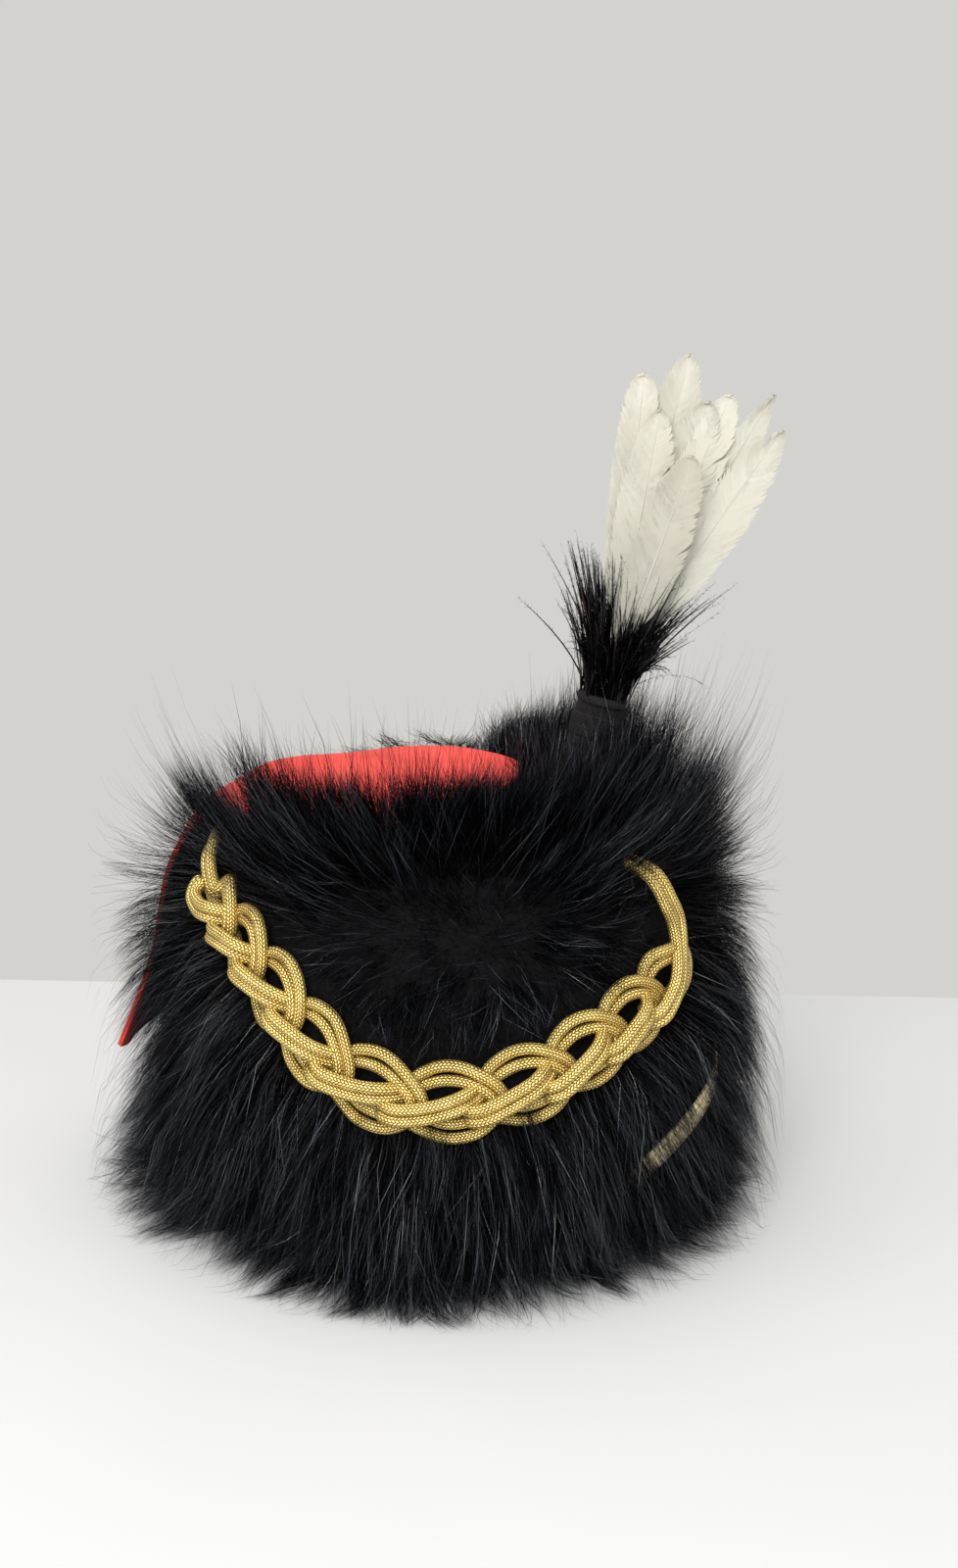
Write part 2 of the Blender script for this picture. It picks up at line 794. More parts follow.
BAG_WAY = flat_way(BAG_ANGLE)
BAG_ACROSS = np.array([-BAG_WAY[1], BAG_WAY[0], 0.0])
# Steps of the felt along and across the bag
BAG_STEPS = 70
BAG_STEPS_ACROSS = 40


def bag_points(u, v):
    """Points of the bag's middle surface: u from the seam to the hanging end, v across from -1 to 1."""
    rows = np.stack([column(BAG, name) for name in BAG[0]], -1)
    out, z, front, back, tuck, drop = smooth(rows, u).T * MM
    half = np.where(v > 0, front, back)
    far = out - tuck * v**2
    points = far[:, None] * BAG_WAY + (half * v)[:, None] * BAG_ACROSS
    points[:, 2] += z - drop * v**2
    return points


def bag_folds(u, v):
    """How far the felt stands off its middle surface: slow waves along the bag, deeper where it hangs."""
    hang = soft_step(u, 0.5, 0.9)
    waves = np.sin(v * 4.1 + u * 7.0) * (0.5 + 1.1 * hang) + np.sin(v * 9.0 - u * 5.0 + 1.0) * 0.35
    return waves * MM * (1 - v**8)


class BUSBY_OT_bag(bpy.types.Operator):
    """Makes the felt bag that lies over the crown and hangs down the wearer's right side"""

    bl_idname = "busby.make_bag"
    bl_label = "Bag"

    def execute(self, context):
        settings = context.scene.busby_bag
        bm = bmesh.new()
        bmesh.ops.create_grid(
            bm, x_segments=BAG_STEPS, y_segments=BAG_STEPS_ACROSS, size=1.0, calc_uvs=True
        )
        grid = np.array([vert.co for vert in bm.verts])
        u, v = (grid[:, 0] + 1) / 2, grid[:, 1]
        points = bag_points(u, v)
        step = 0.002
        along = bag_points(np.minimum(u + step, 1), v) - bag_points(np.maximum(u - step, 0), v)
        over = bag_points(u, v + step) - bag_points(u, v - step)
        normal = unit(np.cross(along, over))
        normal *= np.sign(normal[len(normal) // 2, 2])
        points += normal * bag_folds(u, v)[:, None]
        for vert, point in zip(bm.verts, points):
            vert.co = point
        bmesh.ops.recalc_face_normals(bm, faces=bm.faces)
        mesh = mesh_of("felt_bag", bm)
        piece = show("felt_bag", mesh, felt_finish(settings.colour), "felt", "bag")
        wall = piece.modifiers.new("wall", "SOLIDIFY")
        wall.thickness = settings.wall
        wall.offset = 0.0
        edge = piece.modifiers.new("edge", "BEVEL")
        edge.width = settings.wall * 0.3
        edge.segments = 2
        return {"FINISHED"}


# Plait


def plait_line():
    """The plait's middle line: its points, the ways across it and out from the cap, and distances along."""
    angle, z, out = (column(PLAIT_ROUTE, name) for name in ("angle", "z", "out"))
    stations = on_cap(angle, z * MM, out * MM)
    line = even(smooth(stations, np.linspace(0, 1, 1200)), 600)
    across, rise, _ = ways_on_cap(line)
    return line, across, rise, np.linspace(0, steps_of(line).sum(), len(line))


def cord_lines(half):
    """The lines of the two cords, of a half width. They change places on every stitch."""
    line, across, out, run = plait_line()
    lead = LEAD * MM
    tail = TAIL * MM
    shares = np.array([0, *STITCH_SHARES, STITCH_SHARES[-1]])
    whole = sum(STITCH_SHARES) + 0.3 * STITCH_SHARES[-1]
    marks = lead + (run[-1] - lead - tail) * np.cumsum(shares) / whole
    stitches = len(STITCH_SHARES)

    def read(values, distance):
        return np.array([np.interp(distance, run, values[:, k]) for k in range(3)])

    def point(distance, side, level):
        return read(line, distance) + read(across, distance) * side + read(out, distance) * level

    lines = []
    for which in (0, 1):
        side = half if which else -half
        points = [point(lead * share, side, share * MM) for share in LEAD_SHARES]
        for stitch in range(stitches):
            inner = "_in" if (stitch + which) % 2 == 0 else ""
            for row in STITCH:
                distance = np.interp(stitch + row["along" + inner], np.arange(len(marks)), marks)
                points.append(point(distance, row["side" + inner] * MM, row["level"] * MM))
        side = -half if (stitches + which) % 2 == 0 else half
        points += [point(run[-1] - tail * share, side, -share * MM) for share in reversed(LEAD_SHARES)]
        lines.append(smooth(points, np.linspace(0, 1, 9 * len(points))))
    return lines


class BUSBY_OT_plait(bpy.types.Operator):
    """Makes the gold plait: two cords worked together into a chain"""

    bl_idname = "busby.make_plait"
    bl_label = "Gold plait"

    def execute(self, context):
        settings = context.scene.busby_cord
        half = settings.cord / 2
        bm = bmesh.new()
        for line in cord_lines(half):
            sweep(bm, frames_along(even(line, 1150), (0, 0, 1)), circle(half, 12))
        show("gold_cord", mesh_of("gold_cord", bm), cord_finish(settings.colour), "cord", "gold_plait")
        return {"FINISHED"}


# Chin strap


def strap_line():
    """The strap's middle line round the cap."""
    left = [(row["angle"], row["z"], row["out"]) for row in STRAP_ROUTE]
    right = [(360 - angle, z, min(out, STRAP_RIGHT_OUT)) for angle, z, out in reversed(left[:-1])]
    angle, z, out = np.array(left + right, float).T
    return even(smooth(on_cap(angle, z * MM, out * MM), np.linspace(0, 1, 1500)), 260)


class BUSBY_OT_strap(bpy.types.Operator):
    """Makes the lace chin strap, put up round the back of the cap"""

    bl_idname = "busby.make_strap"
    bl_label = "Chin strap"

    def execute(self, context):
        settings = context.scene.busby_cord
        half, deep = settings.strap_wide / 2, settings.strap_thick / 2
        shoulder = half * 0.92
        section = [(half, -deep / 3), (half, deep / 3), (shoulder, deep), (0, deep * 1.15), (-shoulder, deep)]
        section += [(-x, -y) for x, y in section]
        line = strap_line()
        axes = np.stack([*ways_on_cap(line), line], 2)
        frames = [Matrix((*rows, (0, 0, 0, 1))) for rows in axes]
        bm = bmesh.new()
        sweep(bm, frames, section)
        show("lace_strap", mesh_of("lace_strap", bm), lace_finish(), "lace", "chin_strap")
        return {"FINISHED"}


# Plume


LEAN_WAY = flat_way(PLUME_LEAN_ANGLE)
LEAN = math.radians(PLUME_LEAN)
PLUME_AXIS = LEAN_WAY * math.sin(LEAN) + np.array([0, 0, math.cos(LEAN)])
PLUME_SIDE = unit(LEAN_WAY - PLUME_AXIS * (LEAN_WAY @ PLUME_AXIS))
PLUME_FORE = np.cross(PLUME_SIDE, PLUME_AXIS)
# Half width of the base, and its turns of tape with the length that they take
BASE_HALF = 11.2
BASE_TURNS = 7
BASE_WOUND = PLUME_BASE - 6
# Herl: its two bunches across the fan, with the share of the strands in the first, the lean and its spread
HERL_BUNCHES = table("way lean spread", (-1, -17, 6), (1, 9, 9))
HERL_FIRST = 0.38
HERL_STRAYS = 0.14
# Barbules on each herl, and the widths along a herl and along a barbule
BARBULES = 54
HERL_TAPER = np.array([0.9, 0.9, 0.85, 0.8, 0.75, 0.65, 0.5, 0.35, 0]) * MM
BARBULE_TAPER = np.array([0.16, 0.12, 0]) * MM
# Widths along a feather's barb, in spaces between barbs
BARB_TAPER = np.array([1.9, 1.9, 1.8, 1.5, 0])


def plume_points(side, fore, along):
    """Points of the plume: across its fan, towards the front, and along its axis from the foot."""
    side, fore, along = (np.asarray(value, float)[..., None] for value in (side, fore, along))
    return np.array(PLUME_FOOT) + PLUME_SIDE * side + PLUME_FORE * fore + PLUME_AXIS * along


class BUSBY_OT_plume_base(bpy.types.Operator):
    """Makes the black base of the plume, wound with tape"""

    bl_idname = "busby.make_plume_base"
    bl_label = "Plume base"

    def execute(self, context):
        rows = [(0.0, 0.0), (10.4, 0.0)]
        for turn in range(BASE_TURNS):
            low = 1.5 + turn * BASE_WOUND / BASE_TURNS
            high = low + BASE_WOUND / BASE_TURNS
            half = BASE_HALF + 0.25 * math.sin(turn * 1.7)
            rows += [(half - 0.2, low), (half, low + 0.6)]
            rows += [(half + 0.1, high - 1.0), (half - 0.15, high - 0.2)]
        knob = [(BASE_HALF, 4), (12.0, 2.6), (11.4, 1.2), (9.4, 0.2), (0, 0.2)]
        rows += [(half, PLUME_BASE - below) for half, below in knob]
        bm = lathe([(half * MM, along * MM) for half, along in rows], 40)
        rng = np.random.default_rng(5)
        for vert in bm.verts:
            turn = math.atan2(vert.co.y, vert.co.x)
            wound = 0.2 < vert.co.z / (PLUME_BASE * MM) < 0.9
            slope = 1.2 * MM * math.sin(turn) * wound
            swell = 1 + 0.025 * math.sin(3 * turn + vert.co.z * 400) + rng.normal(0, 0.006)
            vert.co = plume_points(vert.co.x * swell, vert.co.y * swell, vert.co.z + slope)
        bmesh.ops.recalc_face_normals(bm, faces=bm.faces)
        show("tape_base", mesh_of("tape_base", bm), tape_finish(), "wrap", "plume_base")
        return {"FINISHED"}


class BUSBY_OT_herl(bpy.types.Operator):
    """Makes the black herl tuft round the foot of the feathers"""

    bl_idname = "busby.make_herl"
    bl_label = "Herl"

    def execute(self, context):
        count = context.scene.busby_plume.herls
        rng = np.random.default_rng(11)
        bunch = np.where(rng.uniform(0, 1, count) < HERL_FIRST, 0, 1)
        way, lean, spread = (column(HERL_BUNCHES, name)[bunch] for name in ("way", "lean", "spread"))
        stray = rng.uniform(0, 1, count) < HERL_STRAYS
        loose = np.where(stray, 1.7, 1.0)
        length = np.where(stray, rng.uniform(34, 46, count), 32 + 33 * rng.uniform(0, 1, count) ** 1.3)
        side_lean = np.tan(np.radians(lean + rng.normal(0, 1, count) * spread * loose))
        fore_lean = np.tan(np.radians(rng.normal(0, 10, count) * loose))
        places = np.linspace(0, 1, len(HERL_TAPER))
        wave = np.sin(places * 5 + rng.uniform(0, 6, (count, 1))) * rng.uniform(0.2, 1.6, (count, 1)) * places
        run = length[:, None] * places**1.35
        side = (way * 3.5 + rng.normal(0, 2.4, count))[:, None] + side_lean[:, None] * run + wave
        fore = rng.normal(0, 4, count).clip(-8, 8)[:, None] + fore_lean[:, None] * run + wave * 0.6
        droop = stray * rng.uniform(4, 22, count)
        along = PLUME_BASE - 2 + length[:, None] * places - droop[:, None] * places**3
        lines = plume_points(side * MM, fore * MM, along * MM)
        ways = unit(np.gradient(lines, axis=1))
        roll = unit(np.cross(ways, rng.normal(0, 1, (count, 1, 3))))
        mesh = strands("herl_quills", lines, roll, HERL_TAPER, rng.uniform(0.2, 1, count))
        finish = hair_finish("black_herl", (0.004, 0.004, 0.0044), 0.4)
        show("herl_quills", mesh, finish, "herl", "plume_hackle")
        show("herl_barbules", self.barbules(rng, lines, ways), finish, "herl", "plume_hackle")
        return {"FINISHED"}

    def barbules(self, rng, lines, ways):
        """The fine fringe of the herls, as one mesh."""
        count = len(lines)
        steps = lines.shape[1] - 1
        at = rng.uniform(0.12, 1, (count, BARBULES))
        first = np.minimum((at * steps).astype(int), steps - 1)
        share = (at * steps - first)[..., None]
        row = np.arange(count)[:, None]
        root = lines[row, first] * (1 - share) + lines[row, first + 1] * share
        way = ways[row, first]
        spray = unit(way * 0.75 + unit(np.cross(way, rng.normal(0, 1, (count, BARBULES, 3)))))
        long = rng.uniform(1.2, 3.0, (count, BARBULES, 1)) * MM * (1.1 - 0.5 * at[..., None])
        middle = root + spray * long * 0.55
        end = root + spray * long + way * long * 0.3
        points = np.stack([root, middle, end], 2).reshape(-1, 3, 3)
        roll = unit(np.cross(spray, rng.normal(0, 1, (count, BARBULES, 3)))).reshape(-1, 1, 3)
        shade = rng.uniform(0, 1, len(roll))
        return strands("herl_barbules", points, np.repeat(roll, 3, 1), BARBULE_TAPER, shade)


def feather_frame(row):
    """A feather's foot, and its ways along, across and to its face."""
    side, fore = row["side"], row["fore"]
    lean = PLUME_SIDE * math.tan(math.radians(side)) + PLUME_FORE * math.tan(math.radians(fore))
    way = unit(PLUME_AXIS + lean)
    across = -unit(np.cross(PLUME_FORE, way))
    spread = FEATHER_SPREAD * MM
    foot = plume_points(side * spread, fore * spread, (PLUME_BASE + PLUME_HERL - 6) * MM)
    return foot, way, across, unit(np.cross(way, across))


def feather_points(row, t, side):
    """Points of a feather: t along its shaft from 0 to 1, side across it from -1 to 1 at its edges."""
    foot, way, across, face = feather_frame(row)
    t, side = np.broadcast_arrays(np.asarray(t, float), np.asarray(side, float))
    rise = np.sin(np.pi / 2 * np.minimum(1, t / FEATHER_WIDEST))
    vane = FEATHER_FOOT + (1 - FEATHER_FOOT) * rise
    past = np.clip((t - FEATHER_WIDEST) / (1 - FEATHER_WIDEST), 0, 1)
    over = side * row["wide"] / 2 * vane * (1 - past**2) ** row["point"] + row["curl"] * t**2
    ruffle = np.sin(t * 19 + row["length"]) * np.abs(side) * 1.1 * t
    deep = row["bow"] * t**2 - side**2 * 2.2 * vane + ruffle
    length = row["length"] + 10
    return foot + (way * (length * t)[..., None] + across * over[..., None] + face * deep[..., None]) * MM


class BUSBY_OT_feathers(bpy.types.Operator):
    """Makes the white feathers: a shaft each, with barbs on both sides"""

    bl_idname = "busby.make_feathers"
    bl_label = "Feathers"

    def execute(self, context):
        settings = context.scene.busby_plume
        rng = np.random.default_rng(23)
        finish = feather_finish(settings.white)
        shafts = bmesh.new()
        barbs, ways, shades = [], [], []
        root = np.linspace(0.02, 0.995, settings.barbs)
        places = np.linspace(0, 1, len(BARB_TAPER))
        ragged = 0.05 + 0.1 * soft_step(root, 0.5, 0.9)
        for row in FEATHERS:
            face = feather_frame(row)[3]
            line = feather_points(row, np.linspace(0, 0.97, 24), 0.0)
            taper = np.linspace(1, 0.18, len(line))
            sweep(shafts, frames_along(line, PLUME_FORE), circle(0.75 * MM, 6), taper)
            for side in (-1, 1):
                cluster = np.cumsum(rng.uniform(0, 1, settings.barbs) < 0.2)
                clusters = cluster[-1] + 1
                slip = rng.normal(0, 0.02, clusters)[cluster] * soft_step(root, 0.15, 0.6)
                lift = rng.normal(0, 0.3, clusters)[cluster]
                reach = 1 - np.abs(rng.normal(0, 1, settings.barbs)) * ragged - np.abs(slip)
                run = (0.24 + slip) * (1 - root) ** 0.6
                at = root[:, None] + run[:, None] * places**1.15
                points = feather_points(row, np.minimum(at, 1.0), side * reach[:, None] * places**0.9)
                points += face * (lift[:, None] * places**2)[..., None] * MM
                barbs.append(points)
                ways.append(unit(np.cross(unit(np.gradient(points, axis=1)), face)))
                tint = rng.normal(0, 0.05, clusters)[cluster] + rng.normal(0, 0.06, settings.barbs)
                shades.append(np.clip(row["shade"] + tint, 0, 1))
        spacing = 110 * MM / settings.barbs
        lines, across, shade = (np.concatenate(parts) for parts in (barbs, ways, shades))
        mesh = strands("feather_barbs", lines, across, BARB_TAPER * spacing, shade)
        show("feather_barbs", mesh, finish, "feather", "plume_feathers")
        quills = mesh_of("feather_shafts", shafts)
        shade = np.full(len(quills.vertices), 0.62)
        quills.attributes.new("shade", "FLOAT", "POINT").data.foreach_set("value", shade)
        show("feather_shafts", quills, finish, "feather", "plume_feathers")
        return {"FINISHED"}


# Fur


# Quarters of the side, with the angles of their middles
QUARTERS = {"fur_front": 0, "fur_left": 90, "fur_back": 180, "fur_right": 270}
# Widths along a hair and along a guard hair, as shares of the hair's width
HAIR_TAPER = np.array([1.0, 0.95, 0.7, 0])
GUARD_TAPER = np.array([0.65, 0.62, 0.52, 0.36, 0])
# Lower corners at the front, where the fur is shorter, and the bag's front edge, which longer fur covers
CORNER_ANGLE = 38
CORNER_LESS = 0.2
EDGE_ANGLE = -67
EDGE_MORE = 9 * MM
# Parting above the plait, and how far tips go round the cap from it and in the fan below
PARTING_ANGLE = 14
PARTED = 25
FANNED = 9
# Topmost roots of the side's hair, lower under the bag, and half the angle that the bag takes up there
ROOT_TOP = 169 * MM
ROOT_TOP_BAG = 160 * MM
BAG_HALF_ANGLE = 42
# How far round from the bag's middle hair can meet the bag, and the room it keeps from felt and floor
BAG_NEAR = 75
FELT_ROOM = 1.6 * MM
FLOOR_ROOM = 0.5 * MM
# How far out hair lies under the plait, how deep under the strap, and how much more it has beside them
UNDER_PLAIT = 15.5 * MM
UNDER_STRAP = 3 * MM
FREE = 100 * MM
# Where the strap shows bare, to either side of an angle, and the shares of hair under it there and elsewhere
BARE_ANGLE = 63
BARE_HALF = 4.5
BARE_SHARE = 0.98
HIDDEN_SHARE = 0.05
# Farthest that hair stands out at the front and back, and how much farther at the bag and at the left
FUR_LIMIT = 50
LIMIT_BAG = 25
LIMIT_LEFT = 11
# Highest that tips come over the crown: where the fur lies, what standing adds, and what frees them
LYING_TOP = -2
STANDING_TOP = 48
FREE_TOP = 60
# Crown's hair: its locks, the outermost of them and how far in they go, and how far the hair leans outwards,
# more at the edge and more where it lies flat
CROWN_LOCKS = 800
CROWN_OUTER = 88
CROWN_INWARD = 50
CROWN_LEAN = 4
EDGE_LEAN = 8
FLAT_LEAN = 14


def fur_reach(angle, z):
    """How far the fur reaches out at an angle and a height."""
    side = np.sin(np.radians(angle))
    turn = turned(angle)
    tiers = column(FUR_TIERS, "z") * MM
    sides = ("front", "left", "bag")
    front, left, bag = (np.interp(z, tiers, column(FUR_TIERS, name) * MM) for name in sides)
    reach = front + (np.where(side < 0, bag, left) - front) * np.abs(side) ** 3
    corner = hump(np.abs(turn), CORNER_ANGLE, 17) * (1 - soft_step(z, 35 * MM, 85 * MM))
    cover = hump(turn, EDGE_ANGLE, 9) * soft_step(z, 100 * MM, 130 * MM)
    cover = cover * (1 - soft_step(z, 138 * MM, 158 * MM))
    return reach * (1 - CORNER_LESS * corner) + EDGE_MORE * cover


def stand(angle):
    """How far the fur at the top stands up at an angle, as a share."""
    return np.interp(turned(angle), column(STAND, "angle"), column(STAND, "share"))


def fur_sweep(angle, z):
    """How far tips go round the cap, in metres: parted above the plait, fanned out below it."""
    turn = turned(angle)
    front = np.cos(np.radians(turn / 2)) ** 2
    parted = np.tanh((turn - PARTING_ANGLE) / 22) * soft_step(z, 105 * MM, 150 * MM) * PARTED
    fanned = np.sin(np.radians(turn)) * (1 - soft_step(z, 60 * MM, 120 * MM)) * FANNED
    return (parted * front**2 + fanned) * MM


def near_line(angle, z, rows, reach):
    """Distance over the cap's side from points to a route's line, counted up to reach."""
    round_cap = RIM_HALF + PLAIT_OUT * MM
    places = smooth(np.stack([column(rows, "angle"), column(rows, "z")], -1), np.linspace(0, 1, 90))
    turn = turned(angle)
    best = np.full(angle.shape, reach)
    for there, high in places:
        apart = np.hypot(np.radians(turn - there) * round_cap, z - high * MM)
        best = np.minimum(best, apart)
    return best


def root_top(angle):
    """Height of the topmost roots on the side."""
    return np.where(np.abs(turned(angle - BAG_ANGLE)) < BAG_HALF_ANGLE, ROOT_TOP_BAG, ROOT_TOP)


def side_hair(rng, angle, z, share, loose):
    """Hair lines on the side, in angles, heights and distances out: root, bend and tip for each."""
    reach = fur_reach(angle, z) * share
    rise = np.interp(z, column(FUR_TIERS, "z") * MM, column(FUR_TIERS, "rise") * MM) * share
    standing = stand(angle)
    rise = np.where(rise > 0, rise * standing, rise)
    free = FREE_TOP * soft_step(standing, 0.3, 0.6)
    ceiling = CROWN_TOP + (STANDING_TOP * standing + LYING_TOP + free) * MM
    rise = np.minimum(rise + rng.normal(0, 5 * MM, len(z)) * loose, ceiling - z)
    sweep_out = fur_sweep(angle, z) + rng.normal(0, 6 * MM, len(z)) * loose
    tip_angle = angle + np.degrees(sweep_out / (RIM_HALF + reach))
    up = rise > 0
    bend_z = z + rise * np.where(up, 0.35, 0.06)
    bend_out = reach * np.where(up, 0.7, 0.66)
    bend = np.stack([angle + (tip_angle - angle) * 0.25, bend_z, bend_out], -1)
    tip = np.stack([tip_angle, z + rise, reach], -1)
    root = np.stack([angle, z, np.full(len(z), PELT_OUT)], -1)
    return root, bend, tip


def bent(root, bend, tip, stations):
    """Points along curves from root to tip, drawn towards the bend."""
    t = np.linspace(0, 1, stations)[None, :, None]
    return root[:, None] * (1 - t) ** 2 + bend[:, None] * 2 * t * (1 - t) + tip[:, None] * t**2


def press_under(lines, rng):
    """Keeps hair under the plait and the strap, above the floor and within the fur's limit.

    The hair is in angles, heights and distances out.
    """
    angle, z, out = np.moveaxis(lines, -1, 0)
    away = near_line(angle, z, PLAIT_OVER, 40 * MM)
    under = UNDER_PLAIT + FREE * soft_step(away, 18 * MM, 28 * MM)
    slack = rng.uniform(0.72, 1.0, (len(lines), 1))
    out = np.where(out > under, under * slack, out)
    strap_out = column(STRAP_SHOWN, "out") * MM
    under = np.interp(turned(angle), column(STRAP_SHOWN, "angle"), strap_out) - UNDER_STRAP
    away = near_line(angle, z, STRAP_SHOWN, 30 * MM)
    bare = np.abs(turned(angle[:, :1]) - BARE_ANGLE) < BARE_HALF
    ducks = rng.uniform(0, 1, (len(lines), 1)) < np.where(bare, BARE_SHARE, HIDDEN_SHARE)
    under = np.where(ducks, under + FREE * soft_step(away, 5 * MM, 10 * MM), np.inf)
    out = np.where(out > under, under * slack, out)
    floor = (0.7 + 2.5 * (1 - slack)) * MM
    out = out + np.maximum(0, floor - z) * 0.45
    side = np.sin(np.radians(angle))
    limit = (FUR_LIMIT + np.where(side < 0, LIMIT_BAG, LIMIT_LEFT) * side**2) * MM
    spare = limit * 0.3
    past = np.maximum(0, out - limit + spare)
    out = out - past + spare * (1 - np.exp(-past / spare))
    return np.stack([angle, np.maximum(z, floor), out], -1)


def tuck_under(lines, tree):
    """Keeps hair under the bag: where a hair would come through the felt, it turns along beneath it."""
    for line in lines:
        for k in range(1, len(line)):
            start, end = Vector(line[k - 1]), Vector(line[k])
            step = end - start
            place, normal, _, away = tree.ray_cast(start, step.normalized(), step.length + FELT_ROOM)
            if place is None:
                continue
            if normal.dot(step) < 0:
                normal = -normal
            held = place - normal * FELT_ROOM
            slide = step - normal * step.dot(normal)
            turn = held - start + slide * max(0.0, 1 - away / step.length)
            line[k:] += np.array(start + turn) - line[k]
    return lines


class BUSBY_OT_fur(bpy.types.Operator):
    """Makes the fur: wool under it, hair in locks round the side and on the crown, and long guard hairs"""

    bl_idname = "busby.make_fur"
    bl_label = "Fur"

    def execute(self, context):
        settings = context.scene.busby_fur
        self.finish = hair_finish("black_fur", settings.colour, 0.32)
        self.bag = BVHTree.FromObject(bpy.data.objects["felt_bag"], context.evaluated_depsgraph_get())
        self.make_wool()
        self.make_side(settings)
        self.make_crown(settings)
        self.make_guard(settings)
        return {"FINISHED"}

    def make_wool(self):
        """Dense wool that fills the fur behind its hair."""
        top = CROWN_TOP + WOOL_DEEP * MM
        profile = [(RIM_HALF + row["out"] * MM, row["z"] * MM) for row in WOOL]
        profile += [(TOP_HALF - 2 * MM, CROWN_TOP), (TOP_HALF - 8 * MM, top), (60 * MM, top), (0, top)]
        bm = lathe(profile, 120, 5)
        rng = np.random.default_rng(3)
        for vert in bm.verts:
            vert.co.y *= OVAL
            if vert.co.z > 3 * MM and vert.co.xy.length > 70 * MM:
                vert.co.xy *= 1 - abs(rng.normal(0, 0.012))
        bmesh.ops.recalc_face_normals(bm, faces=bm.faces)
        show("fur_wool", mesh_of("fur_wool", bm), wool_finish(), "fur", "fur_cover")

    def settled(self, lines):
        """Places of the side's hair, tucked under the bag and off the floor."""
        places = on_cap(*np.moveaxis(lines, -1, 0))
        near_bag = np.abs(turned(lines[:, 0, 0] - BAG_ANGLE)) < BAG_NEAR
        places[near_bag] = tuck_under(places[near_bag], self.bag)
        places[..., 2] = np.maximum(places[..., 2], FLOOR_ROOM)
        return places

    def show_hair(self, name, lines, widths, rng, shade):
        """Hairs as flat strands, each turned its own way about its length."""
        ways = unit(np.gradient(lines, axis=1))
        across = unit(np.cross(ways, rng.normal(0, 1, (len(lines), 1, 3))))
        show(name, strands(name, lines, across, widths, shade), self.finish, "fur", "fur_cover")

    def make_side(self, settings):
        """Hair round the side, in locks, in four quarters."""
        rng = np.random.default_rng(7)
        count = settings.hairs
        lock_z = rng.uniform(1, 166, settings.locks) * MM
        lock_angle = rng.uniform(0, 360, settings.locks)
        lock_share = rng.normal(1.05, 0.13, settings.locks).clip(0.7, 1.3)
        _, lock_bend, lock_tip = side_hair(rng, lock_angle, lock_z, lock_share, 2.5)
        lock_dark = np.exp(rng.normal(0, 0.5, settings.locks))
        for name, middle in QUARTERS.items():
            inside = np.flatnonzero(np.abs(turned(lock_angle - middle)) <= 45)
            pick = rng.choice(inside, count)
            angle = lock_angle[pick] + np.degrees(rng.normal(0, 4 * MM, count) / RIM_HALF)
            z = np.clip(lock_z[pick] + rng.normal(0, 4 * MM, count), 0.8 * MM, root_top(angle))
            share = lock_share[pick] * (1 - 0.45 * rng.uniform(0, 1, count) ** 2.5)
            root, bend, tip = side_hair(rng, angle, z, share, 0.6)
            gather = rng.uniform(0.4, 0.95, (count, 1))
            tip[:, :2] += (lock_tip[pick] - tip)[:, :2] * gather
            bend[:, :2] += (lock_bend[pick] - bend)[:, :2] * gather * 0.5
            lines = bent(root, bend, tip, len(HAIR_TAPER))
            lines[:, 1:3] += rng.normal(0, 1, (count, 2, 3)) * (0.7, 1.1 * MM, 1.1 * MM)
            places = self.settled(press_under(lines, rng))
            shade = rng.uniform(0, 1, count) ** lock_dark[pick]
            self.show_hair(name, places, HAIR_TAPER * settings.width, rng, shade)

    def covered(self, root):
        """Whether the bag lies close over or under a root on the crown."""
        ways = Vector((0, 0, 50 * MM)), Vector((0, 0, -12 * MM))
        return any(self.bag.ray_cast(Vector(root), way, way.length)[0] is not None for way in ways)

    def make_crown(self, settings):
        """Hair that stands on the crown, outside the bag and round the plume's base."""
        rng = np.random.default_rng(13)
        count = settings.crown_hairs
        front, back = CROWN_LOCKS * 2 // 5, CROWN_LOCKS // 5
        lock_turn = rng.uniform(0, 360, CROWN_LOCKS)
        lock_turn[:front] = rng.uniform(-75, 60, front)
        lock_turn[-back:] = rng.uniform(115, 178, back)
        lock_half = CROWN_OUTER - CROWN_INWARD * rng.uniform(0, 1, CROWN_LOCKS) ** 1.3
        lock_lean = rng.normal(0, 7, (CROWN_LOCKS, 2))
        lock_rise = CROWN_RISE * stand(lock_turn) * rng.normal(0.95, 0.12, CROWN_LOCKS)
        lock_rise = lock_rise * (0.6 + 0.4 * soft_step(lock_half, 50, 80))
        pick = rng.integers(0, CROWN_LOCKS, count)
        turn = np.radians(lock_turn[pick])
        half = lock_half[pick]
        root = np.stack([np.sin(turn) * half, -np.cos(turn) * half * OVAL], -1)
        root = root + rng.normal(0, 3.2, (count, 2))
        share = 1 - 0.45 * rng.uniform(0, 1, count) ** 2
        share = np.where(rng.uniform(0, 1, count) < 0.045, rng.uniform(1.1, 1.7, count), share)
        flat = FLAT_LEAN * (1 - np.minimum(1, stand(lock_turn[pick]) / 0.7))
        outward = CROWN_LEAN + EDGE_LEAN * soft_step(half, 60, 84) + flat
        lean = unit(root) * outward[:, None] + lock_lean[pick] + rng.normal(0, 3, (count, 2))
        lean = lean * np.minimum(share, 1.1)[:, None]
        rise = lock_rise[pick] * share
        lines = np.zeros((count, len(HAIR_TAPER), 3))
        for k, t in enumerate(np.linspace(0, 1, len(HAIR_TAPER))):
            lines[:, k, :2] = root + lean * t**1.5
            lines[:, k, 2] = CROWN_TOP / MM + WOOL_DEEP + rise * t
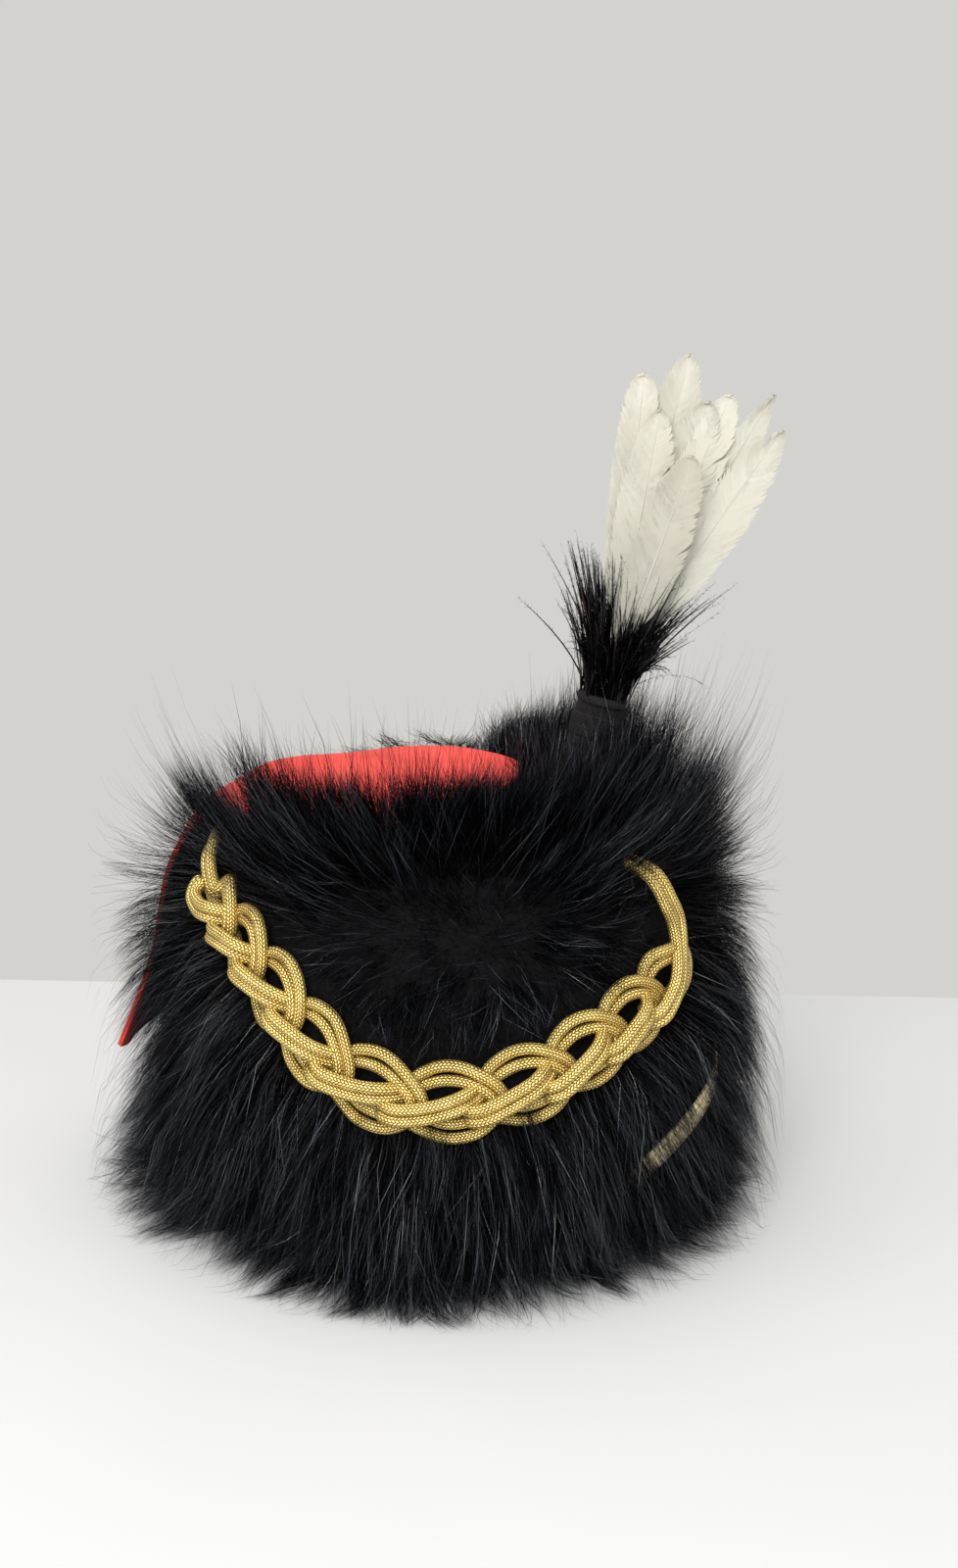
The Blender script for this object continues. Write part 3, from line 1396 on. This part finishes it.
        lines[:, 1:3] += rng.normal(0, 0.7, (count, 2, 3))
        lines *= MM
        roots = lines[:, 0]
        clear = np.hypot(roots[:, 0] - PLUME_FOOT.x, roots[:, 1] - PLUME_FOOT.y) > 11 * MM
        clear &= [not self.covered(root) for root in roots]
        lines = tuck_under(lines[clear], self.bag)
        shade = rng.uniform(0, 1, len(lines))
        self.show_hair("fur_crown", lines, HAIR_TAPER * settings.width, rng, shade)

    def make_guard(self, settings):
        """Long, thin hairs that stand out of the fur."""
        rng = np.random.default_rng(17)
        count = settings.guard_hairs
        angle = rng.uniform(0, 360, count)
        high = rng.uniform(0, 1, count) < 0.45
        z = np.where(high, rng.uniform(140, 168, count), rng.uniform(2, 140, count)) * MM
        z = np.minimum(z, root_top(angle))
        long = rng.uniform(0, 1, count) < 0.3
        share = np.where(long, rng.uniform(1.25, 1.8, count), rng.uniform(0.95, 1.3, count))
        root, bend, tip = side_hair(rng, angle, z, share, 2.4)
        places = self.settled(press_under(bent(root, bend, tip, len(GUARD_TAPER)), rng))
        shade = rng.uniform(0, 1, count) ** 0.8
        self.show_hair("fur_guard", places, GUARD_TAPER * settings.width, rng, shade)


# Shell


class BUSBY_OT_shell(bpy.types.Operator):
    """Finishes the stiff shell, which shows inside the head opening"""

    bl_idname = "busby.finish_shell"
    bl_label = "Shell"

    def execute(self, context):
        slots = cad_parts["crown_shell"].data.materials
        slots.clear()
        slots.append(buckram_finish())
        return {"FINISHED"}


# Stage


# Focal length in heights of the picture, and the floor's half size, far edge and drop under the rim
FOCAL = 1950 / 1600
FLOOR_HALF = 1.5
FLOOR_FAR = 0.215
FLOOR_DROP = 0.0002


def area_light(name, place, target, size, power):
    """A soft square light that faces a point."""
    lamp = bpy.data.lights.new(name, "AREA")
    lamp.size = size
    lamp.energy = power
    light = bpy.data.objects.new(name, lamp)
    light.location = place
    light.rotation_euler = (Vector(target) - Vector(place)).to_track_quat("-Z", "Y").to_euler()
    bpy.context.scene.collection.objects.link(light)


class BUSBY_OT_stage(bpy.types.Operator):
    """Sets the camera, the pale floor and soft studio light"""

    bl_idname = "busby.set_stage"
    bl_label = "Stage"

    def execute(self, context):
        settings = context.scene.busby_stage
        scene = context.scene
        scene.view_settings.view_transform = "Standard"
        lens = bpy.data.cameras.new("camera")
        lens.lens = lens.sensor_width * FOCAL
        camera = bpy.data.objects.new("camera", lens)
        turn = Matrix.Rotation(settings.turn, 4, "Z")
        tilt = Matrix.Rotation(math.pi / 2 - settings.pitch, 4, "X")
        roll = Matrix.Rotation(settings.roll, 4, "Z")
        camera.matrix_world = Matrix.Translation(settings.camera_place) @ turn @ tilt @ roll
        scene.collection.objects.link(camera)
        scene.camera = camera
        bm = bmesh.new()
        bmesh.ops.create_grid(bm, x_segments=8, y_segments=8, size=FLOOR_HALF)
        bmesh.ops.translate(bm, verts=bm.verts, vec=(0, FLOOR_FAR - FLOOR_HALF, -FLOOR_DROP))
        bmesh.ops.transform(bm, matrix=turn, verts=bm.verts)
        mesh = mesh_of("floor", bm)
        mesh.materials.append(floor_finish(settings.floor))
        floor = bpy.data.objects.new("floor", mesh)
        scene.collection.objects.link(floor)
        world = bpy.data.worlds.new("air")
        world.use_nodes = True
        world.node_tree.nodes["Background"].inputs["Color"].default_value = (*settings.air, 1)
        scene.world = world
        area_light("top_light", (-0.1, -0.2, 1.5), (0, 0, 0.1), 1.2, 13.0)
        area_light("front_light", (-0.05, -1.25, 0.9), (0, 0, 0.12), 0.8, 18.5)
        return {"FINISHED"}


class BUSBY_PT_panel(bpy.types.Panel):
    """Lists the pieces of the busby"""

    bl_idname = "BUSBY_PT_panel"
    bl_label = "Busby"
    bl_space_type = "VIEW_3D"
    bl_region_type = "UI"
    bl_category = "Busby"

    def draw(self, context):
        for operator in OPERATORS:
            self.layout.operator(operator.bl_idname)
        for name in SETTINGS:
            box = self.layout.box()
            settings = getattr(context.scene, name)
            for key in settings.__annotations__:
                box.prop(settings, key)


OPERATORS = (
    BUSBY_OT_stage,
    BUSBY_OT_shell,
    BUSBY_OT_bag,
    BUSBY_OT_plait,
    BUSBY_OT_strap,
    BUSBY_OT_plume_base,
    BUSBY_OT_herl,
    BUSBY_OT_feathers,
    BUSBY_OT_fur,
)
SETTINGS = {
    "busby_fur": FurSettings,
    "busby_bag": BagSettings,
    "busby_cord": CordSettings,
    "busby_plume": PlumeSettings,
    "busby_stage": StageSettings,
}


def register():
    for cls in (*SETTINGS.values(), *OPERATORS, BUSBY_PT_panel):
        bpy.utils.register_class(cls)
    for name, cls in SETTINGS.items():
        setattr(bpy.types.Scene, name, PointerProperty(type=cls))


def unregister():
    for name in SETTINGS:
        delattr(bpy.types.Scene, name)
    for cls in (BUSBY_PT_panel, *reversed(OPERATORS), *SETTINGS.values()):
        bpy.utils.unregister_class(cls)


def main():
    register()
    for operator in OPERATORS:
        group, name = operator.bl_idname.split(".")
        getattr(getattr(bpy.ops, group), name)()


if __name__ == "__main__":
    main()
